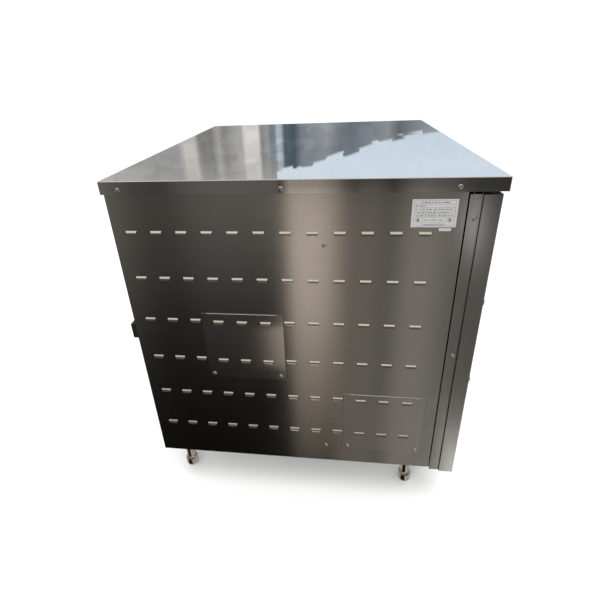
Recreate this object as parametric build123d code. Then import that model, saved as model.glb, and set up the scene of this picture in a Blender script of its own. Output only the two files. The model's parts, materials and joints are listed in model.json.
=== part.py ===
from build123d import *

import os
from math import asin, cos, degrees, radians, sin, sqrt

# A floor-standing proofing cabinet. Millimetres. The door faces -Y, the louvered service side faces -X,
# +Z is up and the origin is on the floor, midway along the width and the depth of the whole cabinet.

# ---- Driving dimensions --------------------------------------------------------------------------
SHEET = 1.2  # thickness of the casing's stainless sheet
PITCH = 63.5  # between louver columns; rows are two pitches apart

LID_WIDTH = 971.6
LID_DEPTH = 914.4
LID_TOP = 1041.5
LID_SKIRT = 31.75
LID_OVERHANG = 6.0
LEG_HEIGHT = 151.0
PAN_RIM = 24.0  # height of the base pan's upturned edge

BODY_SIDE = LID_WIDTH / 2 - LID_OVERHANG  # outer faces of the side panels, at plus and minus X
BODY_REAR = LID_DEPTH / 2 - LID_OVERHANG
BODY_BOTTOM = LEG_HEIGHT
PANEL_TOP = LID_TOP - 5.5  # the panels run up behind the lid's skirt
SKIRT_BOTTOM = LID_TOP - LID_SKIRT

DOOR_FRONT = -446.9
FRAME_FRONT = -408.0  # front plane of the face frame
FRAME_DEPTH = 20.0
SIDE_FRONT = -378.4  # front edge of the side panels
FRONT_BOTTOM = 143.7  # door and control column hang a little below the body
FRONT_TOP = 1003.0

# Face frame members, as X or Z spans
LEFT_STILE = (-381.0, -341.0)
RIGHT_STILE = (431.2, BODY_SIDE - SHEET)
TOP_RAIL = (966.2, PANEL_TOP)
BOTTOM_RAIL = (BODY_BOTTOM + SHEET, 204.0)

# Inside faces of the chamber
CHAMBER_X = (-340.0, 430.0)
CHAMBER_Y = (FRAME_FRONT + FRAME_DEPTH, 410.0)
CHAMBER_Z = (205.0, 965.0)
LINER = 1.0
PARTITION_X = -381.0  # wall between the service compartment and the insulation

# Louvers: columns counted from the rear, rows from the top
LOUVER_COLUMNS = 12
LOUVER_ROWS = 6
FIRST_LOUVER_Y = 402.0
FIRST_LOUVER_Z = 910.2
ROW_PITCH = 2 * PITCH
LOUVER_TOP_WIDTH = 28.0
LOUVER_LIP_WIDTH = 22.0
LOUVER_HEIGHT = 11.5
LOUVER_RISE = 4.6

# Access covers on the left side: Y span, Z span, louver columns and rows that they carry
UPPER_COVER = {"y": (38.2, 257.3), "z": (465.0, 681.0), "columns": (3, 4, 5), "rows": (2, 3)}
LOWER_COVER = {"y": (-346.0, -122.5), "z": (207.0, 423.0), "columns": (9, 10, 11), "rows": (4, 5)}
COVER_LAP = 12.0
COVER_LOUVER_DROP = 3.0
TAB_HEIGHT = 9.0

# Control column
COLUMN_LEFT = -485.0
COLUMN_RIGHT = -373.0
STRIP_REAR = SIDE_FRONT - 2.2
HEM_WIDTH = 5.0
STRIP_SCREW_Z = (212.0, 573.6, 947.0)
CONTROL_X = -426.0
HEAT_KNOB_Z = 706.0
HUMIDITY_KNOB_Z = 457.0
SWITCH_Z = 800.0
THERMOMETER_Z = 900.0
PILOT_Z = (758.0, 509.0)
ROCKER_ANGLE = 10.0  # the rocker's tip each side of level
ROCKER_PIVOT_Y = DOOR_FRONT + 1.0
ROCKER_PIN_RADIUS = 1.2
ROCKER_PIN_REACH = 8.6
THERMOMETER_RADIUS = 31.0
NEEDLE_REST_ANGLE = -125.0
NEEDLE_PIN_RADIUS = 1.0
SPINDLE_RADIUS = 3.0
RUNNING_CLEARANCE = 0.06

# Door, hung on a vertical pivot near its right edge
DOOR_X = (-369.0, BODY_SIDE)
DOOR_BACK = -413.0
PIVOT_X = 471.8
PIVOT_Y = -436.0
PIVOT_RADIUS = 4.0
BUSHING_RADIUS = 6.0
BRACKET_X = (440.0, BODY_SIDE)
BRACKET_PLATE = 2.6
BRACKET_GAP = 1.0
CATCH_X = (-348.0, -342.0)
CATCH_Z = (690.0, 750.0)
WINDOW_X = (-250.0, 360.0)
WINDOW_Z = (330.0, 830.0)
HANDLE_X = -325.0
HANDLE_Z = (470.0, 680.0)
HANDLE_FRONT = -497.3  # as far ahead of the lid's centre as the terminal box is behind it
HANDLE_RADIUS = 11.0

# Legs
LEG_X = 410.0
LEG_Y = (-328.0, 403.0)
LEG_RADIUS = 14.3
FOOT_RADIUS = 19.5
FOOT_HEIGHT = 40.0
STEM_RADIUS = 7.0

# Blower, centred behind the upper access cover
BLOWER_Y = sum(UPPER_COVER["y"]) / 2
BLOWER_Z = sum(UPPER_COVER["z"]) / 2
WHEEL_X = (-334.0, -298.0)
WHEEL_RADIUS = 75.0
BAFFLE_X = -285.0
HEATER_RING_RADIUS = 95.0
HEATER_TUBE = 4.0
LEAD_SPREAD = 16.0
LEAD_RADIUS = 5.5  # a lead's sleeve is wider than the element, and takes in its end
LEAD_X = -400.0  # where the heaters' leads end in the service compartment
WATER_HEATER_Z = 213.0
WATER_LEADS_Y = (-40.0, 40.0)

# Shelves and racks
SHELF_LEVELS = 9
FIRST_LEVEL_Z = 310.0
LEVEL_PITCH = 70.0
SHELF_AT_LEVELS = (1, 4, 7)
RACK_X = (-270.0, 419.0)  # planes of the rack uprights
LEDGE_INSET = 13.0
LEDGE_RADIUS = 3.0
RACK_Y = (-340.0, 340.0)

# Rear terminal box and its gland
TERMINAL_X = -378.0
TERMINAL_Z = 579.0
TERMINAL_HALF_WIDTH = 55.0
TERMINAL_HALF_HEIGHT = 24.0
TERMINAL_REAR = -HANDLE_FRONT
TERMINAL_WALL = 3.0
GLAND_Y = 474.0
GLAND_BORE = 6.5
GLAND_THREAD = 8.9

SCREW_HEAD_RADIUS = 5.3
SCREW_HEAD_HEIGHT = 2.4
SCREW_SHANK_RADIUS = 2.0
SCREW_LENGTH = 7.0
LID_SCREW_Z = 1021.0
LID_SCREW_Y = (-357.0, 25.5, 411.0)
LID_SCREW_X = (-420.0, 0.0, 420.0)

LEFT = Vector(-1, 0, 0)
RIGHT = Vector(1, 0, 0)
FRONT = Vector(0, -1, 0)
REAR = Vector(0, 1, 0)
UP = Vector(0, 0, 1)


# ---- Helpers -------------------------------------------------------------------------------------
def block(x, y, z):
    """A box from three (low, high) spans."""
    size = [abs(span[1] - span[0]) for span in (x, y, z)]
    centre = [sum(span) / 2 for span in (x, y, z)]
    return Pos(*centre) * Box(*size)


def rod(start, end, radius):
    """A round bar from one point to another."""
    run = Vector(*end) - Vector(*start)
    return Part() + Solid.make_cylinder(radius, run.length, Plane(origin=Vector(*start), z_dir=run))


def turned(outline, at, direction):
    """A turned part: (radius, height) points spun about an axis that starts at a point."""
    profile = make_face(Polyline(*[(radius, 0, height) for radius, height in outline], close=True))
    return Plane(origin=Vector(*at), z_dir=direction) * revolve(profile, Axis.Z)


def group(pieces):
    """One node that holds several separate solids."""
    return Compound([solid for piece in pieces for solid in piece.solids()])


def frame_plate(x, y, z, hole_x, hole_z):
    """A plate facing +-Y with a rectangular hole."""
    return block(x, y, z) - block(hole_x, (y[0] - 1, y[1] + 1), hole_z)


def box_section(x, y, z, along, wall=1.5):
    """A hollow rectangular member, open at both ends along X or Z."""
    inner_x = (x[0] - 1, x[1] + 1) if along == "x" else (x[0] + wall, x[1] - wall)
    inner_z = (z[0] - 1, z[1] + 1) if along == "z" else (z[0] + wall, z[1] - wall)
    return block(x, y, z) - block(inner_x, (y[0] + wall, y[1] - wall), inner_z)


def screw(at, direction):
    """A truss-head screw whose head's underside is at a point, with its head along a direction."""
    dome = [(0, 0), (SCREW_HEAD_RADIUS, 0), (SCREW_HEAD_RADIUS, 0.6), (4.6, 1.5), (3.2, 2.1)]
    dome += [(1.6, SCREW_HEAD_HEIGHT), (0, SCREW_HEAD_HEIGHT)]
    head = turned(dome, at, direction)
    shank = rod(at, Vector(*at) - direction * SCREW_LENGTH, SCREW_SHANK_RADIUS)
    across = 3.6
    slot = 0.9
    recess = Box(across, slot, 1.6) + Box(slot, across, 1.6)
    cross = Plane(origin=Vector(*at) + direction * SCREW_HEAD_HEIGHT, z_dir=direction) * recess
    return head + shank - cross


def screw_holes(spots):
    """Clearance holes for screws at (point, direction) spots, longer than the screws at both ends."""
    radius = SCREW_SHANK_RADIUS + 0.1
    reach = SCREW_LENGTH + 6.0
    return [rod(Vector(*at) + way * 3.0, Vector(*at) - way * reach, radius) for at, way in spots]


def louver_y(column):
    return FIRST_LOUVER_Y - column * PITCH


def louver_z(row):
    return FIRST_LOUVER_Z - row * ROW_PITCH


# ---- Louvered side -------------------------------------------------------------------------------
def hood(inset):
    """A pressed louver hood, centred on the sheet's outer face. inset shrinks it to make its hollow."""
    top_half = LOUVER_TOP_WIDTH / 2 - inset
    lip_half = LOUVER_LIP_WIDTH / 2 - inset
    upper = LOUVER_HEIGHT / 2 - inset
    lower = -LOUVER_HEIGHT / 2
    rise = LOUVER_RISE - inset
    section = make_face(
        [
            Line((SHEET, 0, upper), (0, 0, upper)),
            ThreePointArc((0, 0, upper), (-0.72 * rise, 0, 0.25 * upper), (-rise, 0, lower)),
            Line((-rise, 0, lower), (SHEET, 0, lower)),
            Line((SHEET, 0, lower), (SHEET, 0, upper)),
        ]
    )
    arch = extrude(section, amount=LOUVER_TOP_WIDTH, both=True, dir=(0, 1, 0))
    front = make_face(
        Polyline(
            (SHEET + 1, -top_half, upper),
            (SHEET + 1, top_half, upper),
            (SHEET + 1, lip_half, lower),
            (SHEET + 1, -lip_half, lower),
            close=True,
        )
    )
    return arch & extrude(front, amount=LOUVER_RISE + SHEET + 2, dir=(-1, 0, 0))


def louvered(sheet, places, face_x):
    """Presses louvers into a sheet at (y, z) places."""
    shell = hood(0)
    hollow = Pos(0, 0, -0.2) * hood(0.9)
    raised = sheet + [Pos(face_x, y, z) * shell for y, z in places]
    return raised - [Pos(face_x, y, z) * hollow for y, z in places]


def lid_side_spots(side):
    return [((side * LID_WIDTH / 2, y, LID_SCREW_Z), Vector(side, 0, 0)) for y in LID_SCREW_Y]


def lid_rear_spots():
    return [((x, LID_DEPTH / 2, LID_SCREW_Z), REAR) for x in LID_SCREW_X]


def strip_spots():
    y = (STRIP_REAR - HEM_WIDTH + FRAME_FRONT) / 2
    return [((-BODY_SIDE - SHEET, y, z), LEFT) for z in STRIP_SCREW_Z]


def cover_spots(cover):
    inset = 14.0
    z = cover["z"][0] + inset
    return [((-BODY_SIDE - SHEET, y, z), LEFT) for y in (cover["y"][0] + inset, cover["y"][1] - inset)]


def plain_spots():
    """Two screws straight into the side panel."""
    return [((-BODY_SIDE, y, z), LEFT) for y, z in ((-70.4, 881.0), (-72.6, 215.8))]


def covered(column, row):
    return any(column in cover["columns"] and row in cover["rows"] for cover in (UPPER_COVER, LOWER_COVER))


def side_sheet(sign):
    """A side panel's plain sheet with a return flange along its front edge."""
    outer = sign * BODY_SIDE
    inner = outer - sign * SHEET
    flange = outer - sign * 14
    skin = block((outer, inner), (SIDE_FRONT, BODY_REAR), (BODY_BOTTOM, PANEL_TOP))
    lip = block((outer, flange), (SIDE_FRONT, SIDE_FRONT + SHEET), (BODY_BOTTOM + PAN_RIM + 1, PANEL_TOP))
    bend = lip.edges().filter_by(Axis.Z).sort_by(lambda edge: sign * edge.center().X - edge.center().Y)[-1]
    lip = fillet(bend, SHEET - 0.1)
    skin -= block((outer, inner), (SIDE_FRONT, SIDE_FRONT + SHEET), (BODY_BOTTOM + PAN_RIM + 1, PANEL_TOP))
    return skin + lip - screw_holes(lid_side_spots(sign))


def left_side_panel():
    sheet = side_sheet(-1)
    for cover in (UPPER_COVER, LOWER_COVER):
        y = (cover["y"][0] + COVER_LAP, cover["y"][1] - COVER_LAP)
        z = (cover["z"][0] + 2 * COVER_LAP, cover["z"][1] - COVER_LAP)
        slot_y, top = tab_span(cover)
        through = (-BODY_SIDE - 1, -BODY_SIDE + 2)
        sheet -= block(through, y, z)
        sheet -= block(through, (slot_y[0] - 1, slot_y[1] + 1), (top - 1.5, top + 1.0))
        sheet -= screw_holes(cover_spots(cover))
    places = [
        (louver_y(column), louver_z(row))
        for column in range(LOUVER_COLUMNS)
        for row in range(LOUVER_ROWS)
        if not covered(column, row)
    ]
    return louvered(sheet - screw_holes(plain_spots()), places, -BODY_SIDE)


def tab_span(cover):
    """The Y span and the height of the tab along a cover's top edge."""
    return (cover["y"][0] + COVER_LAP + 4, cover["y"][1] - COVER_LAP - 4), cover["z"][1]


def access_cover(cover):
    """A lift-off cover: a louvered sheet whose rounded top edge turns in and hooks up behind the panel."""
    face = -BODY_SIDE - SHEET
    sheet = block((face, -BODY_SIDE), cover["y"], cover["z"]) - screw_holes(cover_spots(cover))
    places = [
        (louver_y(column), louver_z(row) - COVER_LOUVER_DROP)
        for column in cover["columns"]
        for row in cover["rows"]
    ]
    y, top = tab_span(cover)
    inner = -BODY_SIDE + SHEET + 0.2
    nose = block((face - 1.4, -BODY_SIDE), y, (top - 3.0, top + 0.8))
    nose = fillet(nose.edges().filter_by(Axis.Y).group_by(Axis.X)[0], 1.35)
    neck = block((-BODY_SIDE, inner + SHEET), y, (top - 0.4, top + 0.8))
    tab = block((inner, inner + SHEET), y, (top - 0.4, top + TAB_HEIGHT))
    return louvered(sheet, places, face) + nose + neck + tab


# ---- Casing --------------------------------------------------------------------------------------
def top_lid():
    x = LID_WIDTH / 2
    y = LID_DEPTH / 2
    outer = block((-x, x), (-y, y), (SKIRT_BOTTOM, LID_TOP))
    outer = fillet(outer.edges().filter_by(Axis.Z), 2.0)
    outer = fillet(outer.faces().sort_by(Axis.Z)[-1].edges(), 1.9)
    inner = block((-x + SHEET, x - SHEET), (-y + SHEET, y - SHEET), (SKIRT_BOTTOM - 1, LID_TOP - SHEET))
    return outer - inner - screw_holes(lid_side_spots(-1) + lid_side_spots(1) + lid_rear_spots())


def right_side_panel():
    return side_sheet(1)


def rear_panel():
    sheet = block(
        (-BODY_SIDE + SHEET, BODY_SIDE - SHEET), (BODY_REAR - SHEET, BODY_REAR), (BODY_BOTTOM, PANEL_TOP)
    )
    through = (BODY_REAR - 3, BODY_REAR + 2)
    vents = [block((-460.0, -400.0), through, (z - 3.0, z + 3.0)) for z in (940.0, 955.0, 970.0)]
    wire_hole = rod((TERMINAL_X, through[0], TERMINAL_Z), (TERMINAL_X, through[1], TERMINAL_Z), 10.0)
    return sheet - vents - wire_hole - screw_holes(lid_rear_spots())


def base_pan():
    x = BODY_SIDE - SHEET
    y = (CHAMBER_Y[0], BODY_REAR - SHEET)
    z = (BODY_BOTTOM, BODY_BOTTOM + PAN_RIM)
    outer = block((-x, x), y, z)
    inner = block((-x + SHEET, x - SHEET), (y[0] + SHEET, y[1] - SHEET), (z[0] + SHEET, z[1] + 1))
    return outer - inner


def front_rails():
    """The face frame's top and bottom members."""
    x = (-BODY_SIDE + SHEET, BODY_SIDE - SHEET)
    y = (FRAME_FRONT, CHAMBER_Y[0])
    return group([box_section(x, y, z, "x") for z in (TOP_RAIL, BOTTOM_RAIL)])


def front_stiles():
    """The uprights beside the door opening, and the corner post behind the control column's strip."""
    y = (FRAME_FRONT, CHAMBER_Y[0])
    z = (BOTTOM_RAIL[1], TOP_RAIL[0])
    post = (-BODY_SIDE, -BODY_SIDE + 22.0)
    uprights = [box_section(x, y, z, "z") for x in (LEFT_STILE, RIGHT_STILE, post)]
    return group(uprights) - screw_holes(strip_spots())


def control_panel():
    """The control column: a flange strip with a hemmed edge, then a box that steps out from it."""
    z = (FRONT_BOTTOM, FRONT_TOP)
    strip_face = -BODY_SIDE - SHEET
    hem_face = strip_face - 0.8
    strip = block((strip_face, -BODY_SIDE), (FRAME_FRONT, STRIP_REAR), z)
    hem = block((hem_face, strip_face), (STRIP_REAR - HEM_WIDTH, STRIP_REAR), z)
    outer = block((COLUMN_LEFT, COLUMN_RIGHT), (DOOR_FRONT, FRAME_FRONT), z)
    inner_z = (z[0] + SHEET, z[1] - SHEET)
    inner_x = (COLUMN_LEFT + SHEET, COLUMN_RIGHT - SHEET)
    inner = block(inner_x, (DOOR_FRONT + SHEET, FRAME_FRONT - SHEET), inner_z)
    mouth = block((-BODY_SIDE, inner_x[1]), (FRAME_FRONT - 2 * SHEET, FRAME_FRONT + 1), inner_z)
    column = outer - inner - mouth
    upright = column.edges().filter_by(Axis.Z)
    corners = [edge for edge in upright if abs(edge.center().Y - DOOR_FRONT) < 0.01]
    column = fillet(corners, 1.8)
    through = (DOOR_FRONT - 1, DOOR_FRONT + SHEET + 1)
    holes = [
        rod((CONTROL_X, through[0], hole_z), (CONTROL_X, through[1], hole_z), radius)
        for hole_z, radius in (
            (HEAT_KNOB_Z, 5.0),
            (HUMIDITY_KNOB_Z, 5.0),
            (THERMOMETER_Z, 25.0),
            (PILOT_Z[0], 5.5),
            (PILOT_Z[1], 5.5),
        )
    ]
    switch_hole = block((CONTROL_X - 10.0, CONTROL_X + 10.0), through, (SWITCH_Z - 13.5, SWITCH_Z + 13.5))
    return column + strip + hem - holes - switch_hole - screw_holes(strip_spots())


def casing_screws():
    """The screws in the lid's skirt, the control column's strip, the access covers and the side panel."""
    spots = lid_side_spots(-1) + lid_side_spots(1) + lid_rear_spots()
    spots += strip_spots() + cover_spots(UPPER_COVER) + cover_spots(LOWER_COVER) + plain_spots()
    return group([screw(at, direction) for at, direction in spots])


def rating_labels():
    """A rating plate and a small inspection tag under it, both stuck to the side panel."""
    plate = block((-BODY_SIDE - 0.5, -BODY_SIDE), (-359.9, -262.8), (927.0, 992.3))
    tag = block((-BODY_SIDE - 0.3, -BODY_SIDE), (-351.0, -324.6), (918.0, 925.0))
    return group([plate, tag])


# ---- Legs ----------------------------------------------------------------------------------------
def leg(x, y):
    """A tube under a round plate, with a threaded plug in its lower end."""
    low = FOOT_HEIGHT
    plate = rod((x, y, BODY_BOTTOM - 5.0), (x, y, BODY_BOTTOM), 24.0)
    tube = rod((x, y, low), (x, y, BODY_BOTTOM - 5.0), LEG_RADIUS)
    hollow = rod((x, y, low + 16.0), (x, y, BODY_BOTTOM - 5.0), LEG_RADIUS - 2.0)
    thread = rod((x, y, low - 1.0), (x, y, low + 17.0), STEM_RADIUS + RUNNING_CLEARANCE)
    return plate + tube - hollow - thread


def foot(x, y):
    """A bullet foot, wider than its tube, with a stem that screws up into the leg."""
    lower = 12.0
    outline = make_face(
        [
            Line((0, 0, 0), (lower, 0, 0)),
            ThreePointArc((lower, 0, 0), (17.6, 0, 5.5), (FOOT_RADIUS, 0, 15.0)),
            Line((FOOT_RADIUS, 0, 15.0), (FOOT_RADIUS, 0, 31.0)),
            ThreePointArc((FOOT_RADIUS, 0, 31.0), (18.0, 0, 35.5), (15.0, 0, FOOT_HEIGHT - 0.4)),
            Line((15.0, 0, FOOT_HEIGHT - 0.4), (STEM_RADIUS, 0, FOOT_HEIGHT - 0.4)),
            Line((STEM_RADIUS, 0, FOOT_HEIGHT - 0.4), (STEM_RADIUS, 0, FOOT_HEIGHT + 48.0)),
            Line((STEM_RADIUS, 0, FOOT_HEIGHT + 48.0), (0, 0, FOOT_HEIGHT + 48.0)),
            Line((0, 0, FOOT_HEIGHT + 48.0), (0, 0, 0)),
        ]
    )
    return Pos(x, y, 0) * revolve(outline, Axis.Z)


# ---- Service side --------------------------------------------------------------------------------
def shaft_hole(x, radius):
    return rod((x[0], BLOWER_Y, BLOWER_Z), (x[1], BLOWER_Y, BLOWER_Z), radius)


def leads(x, radius):
    """Bars along X where the two heaters' leads run."""
    ring_z = BLOWER_Z + sqrt(HEATER_RING_RADIUS**2 - LEAD_SPREAD**2)
    places = [(BLOWER_Y + side * LEAD_SPREAD, ring_z) for side in (-1, 1)]
    places += [(y, WATER_HEATER_Z) for y in WATER_LEADS_Y]
    return [rod((x[0], y, z), (x[1], y, z), radius) for y, z in places]


def lead_holes(x):
    """Clearance holes for both heaters' leads, through a wall that spans x."""
    return leads(x, LEAD_RADIUS + 1.0)


def service_partition():
    x = (PARTITION_X, PARTITION_X + SHEET)
    sheet = block(x, (CHAMBER_Y[0], BODY_REAR - SHEET), (BODY_BOTTOM + 26.0, PANEL_TOP))
    hole_span = (x[0] - 1, x[1] + 1)
    return sheet - shaft_hole(hole_span, 7.0) - lead_holes(hole_span)


def fan_motor():
    """A finned motor whose nose sits against its bracket."""
    x = (-466.0, -402.0)
    body = rod((x[0], BLOWER_Y, BLOWER_Z), (x[1], BLOWER_Y, BLOWER_Z), 42.0)
    fins = [shaft_hole((x[0] + 4.0 + 8.0 * step, x[0] + 7.0 + 8.0 * step), 47.0) for step in range(7)]
    nose = rod((x[1], BLOWER_Y, BLOWER_Z), (-392.0, BLOWER_Y, BLOWER_Z), 14.0)
    bore = shaft_hole((-430.0, -391.0), PIVOT_RADIUS + RUNNING_CLEARANCE)
    return body + fins + nose - bore


def motor_bracket():
    """A round plate on the partition with three spacers that carry the motor."""
    plate = rod((-391.8, BLOWER_Y, BLOWER_Z), (-389.3, BLOWER_Y, BLOWER_Z), 60.0)
    feet = []
    for step in range(3):
        angle = radians(90 + 120 * step)
        y = BLOWER_Y + 52.0 * cos(angle)
        z = BLOWER_Z + 52.0 * sin(angle)
        feet.append(rod((-389.3, y, z), (PARTITION_X, y, z), 6.0))
    return plate + feet - shaft_hole((-393.0, -388.0), 7.0)


def blower_shaft():
    return shaft_hole((-429.0, WHEEL_X[0] + 12.0), PIVOT_RADIUS)


def blower_wheel():
    """A forward-curved wheel: back plate, hub, blades and front ring."""
    blades = 28
    back = shaft_hole((WHEEL_X[0], WHEEL_X[0] + 2.0), WHEEL_RADIUS)
    hub = shaft_hole((WHEEL_X[0] + 2.0, WHEEL_X[0] + 18.0), 11.0)
    ring = shaft_hole((WHEEL_X[1] - 3.0, WHEEL_X[1]), WHEEL_RADIUS)
    ring -= shaft_hole((WHEEL_X[1] - 4.0, WHEEL_X[1] + 1.0), WHEEL_RADIUS - 15.0)
    blade = Rot(X=28) * Box(WHEEL_X[1] - WHEEL_X[0] - 3.0, 12.0, 1.4)
    blade = Pos(sum(WHEEL_X) / 2, WHEEL_RADIUS - 8.5, 0) * blade
    centre = Pos(0, BLOWER_Y, BLOWER_Z)
    vanes = [centre * Rot(X=360.0 * step / blades) * blade for step in range(blades)]
    return back + hub + ring + vanes - shaft_hole((WHEEL_X[0] - 1.0, WHEEL_X[0] + 12.0), PIVOT_RADIUS)


def air_heater():
    """An open ring element around the wheel. Its ends turn into two leads, out to the service side."""
    ring_x = sum(WHEEL_X) / 2
    half_gap = degrees(asin(LEAD_SPREAD / HEATER_RING_RADIUS))
    section = Pos(0, HEATER_RING_RADIUS, 0) * Circle(HEATER_TUBE)
    ring = Rot(X=90 + half_gap) * revolve(section, Axis.X, 360 - 2 * half_gap)
    return Pos(ring_x, BLOWER_Y, BLOWER_Z) * ring + leads((LEAD_X, ring_x + 6.0), LEAD_RADIUS)[:2]


def terminal_block():
    middle = sum(LOWER_COVER["y"]) / 2
    base = block((PARTITION_X - 26.0, PARTITION_X), (middle - 60.0, middle + 60.0), (320.0, 350.0))
    slots = [
        block((PARTITION_X - 27.0, PARTITION_X - 14.0), (y - 6.0, y + 6.0), (326.0, 344.0))
        for y in [middle - 45.0 + 18.0 * step for step in range(6)]
    ]
    return base - slots


def power_relay():
    middle = sum(LOWER_COVER["y"]) / 2
    case = block((PARTITION_X - 46.0, PARTITION_X), (middle - 28.0, middle + 28.0), (232.0, 296.0))
    blades_x = (PARTITION_X - 54.0, PARTITION_X - 46.0)
    blades = [
        block(blades_x, (middle + y - 3.2, middle + y + 3.2), (z - 0.4, z + 0.4))
        for y in (-16.0, 0.0, 16.0)
        for z in (246.0, 282.0)
    ]
    return case + blades


# ---- Chamber -------------------------------------------------------------------------------------
def liner_left_wall():
    x = (CHAMBER_X[0] - LINER, CHAMBER_X[0])
    sheet = block(x, CHAMBER_Y, CHAMBER_Z)
    hole_span = (x[0] - 1, x[1] + 1)
    return sheet - shaft_hole(hole_span, 7.0) - lead_holes(hole_span)


def liner_right_wall():
    return block((CHAMBER_X[1], CHAMBER_X[1] + LINER), CHAMBER_Y, CHAMBER_Z)


def liner_back_wall():
    x = (CHAMBER_X[0] - LINER, CHAMBER_X[1] + LINER)
    return block(x, (CHAMBER_Y[1], CHAMBER_Y[1] + LINER), CHAMBER_Z)


def liner_ceiling():
    x = (CHAMBER_X[0] - LINER, CHAMBER_X[1] + LINER)
    return block(x, (CHAMBER_Y[0], CHAMBER_Y[1] + LINER), (CHAMBER_Z[1], CHAMBER_Z[1] + LINER))


def liner_floor():
    x = (CHAMBER_X[0] - LINER, CHAMBER_X[1] + LINER)
    return block(x, (CHAMBER_Y[0], CHAMBER_Y[1] + LINER), (CHAMBER_Z[0] - LINER, CHAMBER_Z[0]))


def insulation():
    """Mineral wool slabs around the chamber."""
    gap = 0.5
    x = (PARTITION_X + SHEET + gap, BODY_SIDE - SHEET - gap)
    y = (SIDE_FRONT + SHEET + gap, BODY_REAR - SHEET - gap)
    back_y = CHAMBER_Y[1] + LINER + gap
    left = block((x[0], CHAMBER_X[0] - LINER - gap), (y[0], back_y - gap), CHAMBER_Z)
    left = left - shaft_hole((x[0] - 1, CHAMBER_X[0]), 9.0) - lead_holes((x[0] - 1, CHAMBER_X[0]))
    right = block((CHAMBER_X[1] + LINER + gap, x[1]), (y[0], back_y - gap), CHAMBER_Z)
    back = block(x, (back_y, y[1]), CHAMBER_Z)
    top = block(x, y, (CHAMBER_Z[1] + LINER + gap, PANEL_TOP))
    bottom = block(x, y, (BODY_BOTTOM + 26.0, CHAMBER_Z[0] - LINER - gap))
    return group([left, right, back, top, bottom])


def air_baffle():
    """The plate ahead of the blower: a ringed return opening and rows of discharge slots, on two flanges."""
    y = (-350.0, 370.0)
    z = (240.0, 940.0)
    plate = block((BAFFLE_X, BAFFLE_X + SHEET), y, z)
    flanges = [block((CHAMBER_X[0], BAFFLE_X), y, (at, at + SHEET)) for at in (z[0], z[1] - SHEET)]
    through = (BAFFLE_X - 1, BAFFLE_X + SHEET + 1)
    opening = shaft_hole(through, 62.0)
    half_bar = 1.5
    reach = 64.0
    solid = (BAFFLE_X, BAFFLE_X + SHEET)
    guard_rings = [
        shaft_hole(solid, radius + half_bar) - shaft_hole(through, radius - half_bar)
        for radius in (18.0, 33.0, 48.0)
    ]
    upright = block(solid, (BLOWER_Y - half_bar, BLOWER_Y + half_bar), (BLOWER_Z - reach, BLOWER_Z + reach))
    bars = [upright, Pos(0, BLOWER_Y, BLOWER_Z) * Rot(X=90) * Pos(0, -BLOWER_Y, -BLOWER_Z) * upright]
    slots = [
        block(through, (y_at - 3.0, y_at + 3.0), (z_at - 22.0, z_at + 22.0))
        for y_at in (-325.0, -305.0, -285.0, 305.0, 325.0, 345.0)
        for z_at in [290.0 + LEVEL_PITCH * step for step in range(SHELF_LEVELS)]
    ]
    return plate - opening - slots + flanges + guard_rings + bars


def water_pan():
    x = (-110.0, 290.0)
    y = (-230.0, 230.0)
    z = (222.0, 272.0)
    wall = 1.5
    inner_x = (x[0] + wall, x[1] - wall)
    inner_y = (y[0] + wall, y[1] - wall)
    tub = block(x, y, z) - block(inner_x, inner_y, (z[0] + wall, z[1] + 1))
    rim_outer = block((x[0] - 12, x[1] + 12), (y[0] - 12, y[1] + 12), (z[1] - wall, z[1]))
    rim = rim_outer - block((x[0] + 1, x[1] - 1), (y[0] + 1, y[1] - 1), (z[1] - 5, z[1] + 1))
    corners = [(fx, fy) for fx in (x[0] + 30, x[1] - 30) for fy in (y[0] + 20, y[1] - 20)]
    feet = [rod((fx, fy, CHAMBER_Z[0]), (fx, fy, z[0]), 9.0) for fx, fy in corners]
    return tub + rim + feet


def water_heater():
    """A flat hairpin element under the pan, with its leads out through the liner."""
    reach = 240.0
    z = WATER_HEATER_Z
    sleeves = leads((LEAD_X, CHAMBER_X[0] + 25.0), LEAD_RADIUS)[2:]
    runs = leads((CHAMBER_X[0], reach), HEATER_TUBE)[2:]
    turn = Pos(reach, 0, z) * Torus(WATER_LEADS_Y[1], HEATER_TUBE)
    half = turn & block((reach, reach + 60.0), (-60.0, 60.0), (z - 10.0, z + 10.0))
    return half + runs + sleeves


def rack(upright_x, side):
    """A lift-off shelf rack: three uprights, with a ledge at each level on short struts."""
    ledge_x = upright_x + side * LEDGE_INSET
    post_radius = 4.0
    stations = (RACK_Y[0] + 30, 0.0, RACK_Y[1] - 30)
    posts = [rod((upright_x, y, 214.0), (upright_x, y, 934.0), post_radius) for y in stations]
    ties = [rod((upright_x, stations[0], z), (upright_x, stations[-1], z), 3.0) for z in (222.0, 926.0)]
    ledges = []
    for level in range(SHELF_LEVELS):
        z = FIRST_LEVEL_Z + LEVEL_PITCH * level
        ledges.append(rod((ledge_x, RACK_Y[0], z), (ledge_x, RACK_Y[1], z), LEDGE_RADIUS))
        ledges += [rod((upright_x, y, z), (ledge_x, y, z), 2.5) for y in stations]
    return posts[0] + posts[1:] + ties + ledges


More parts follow.
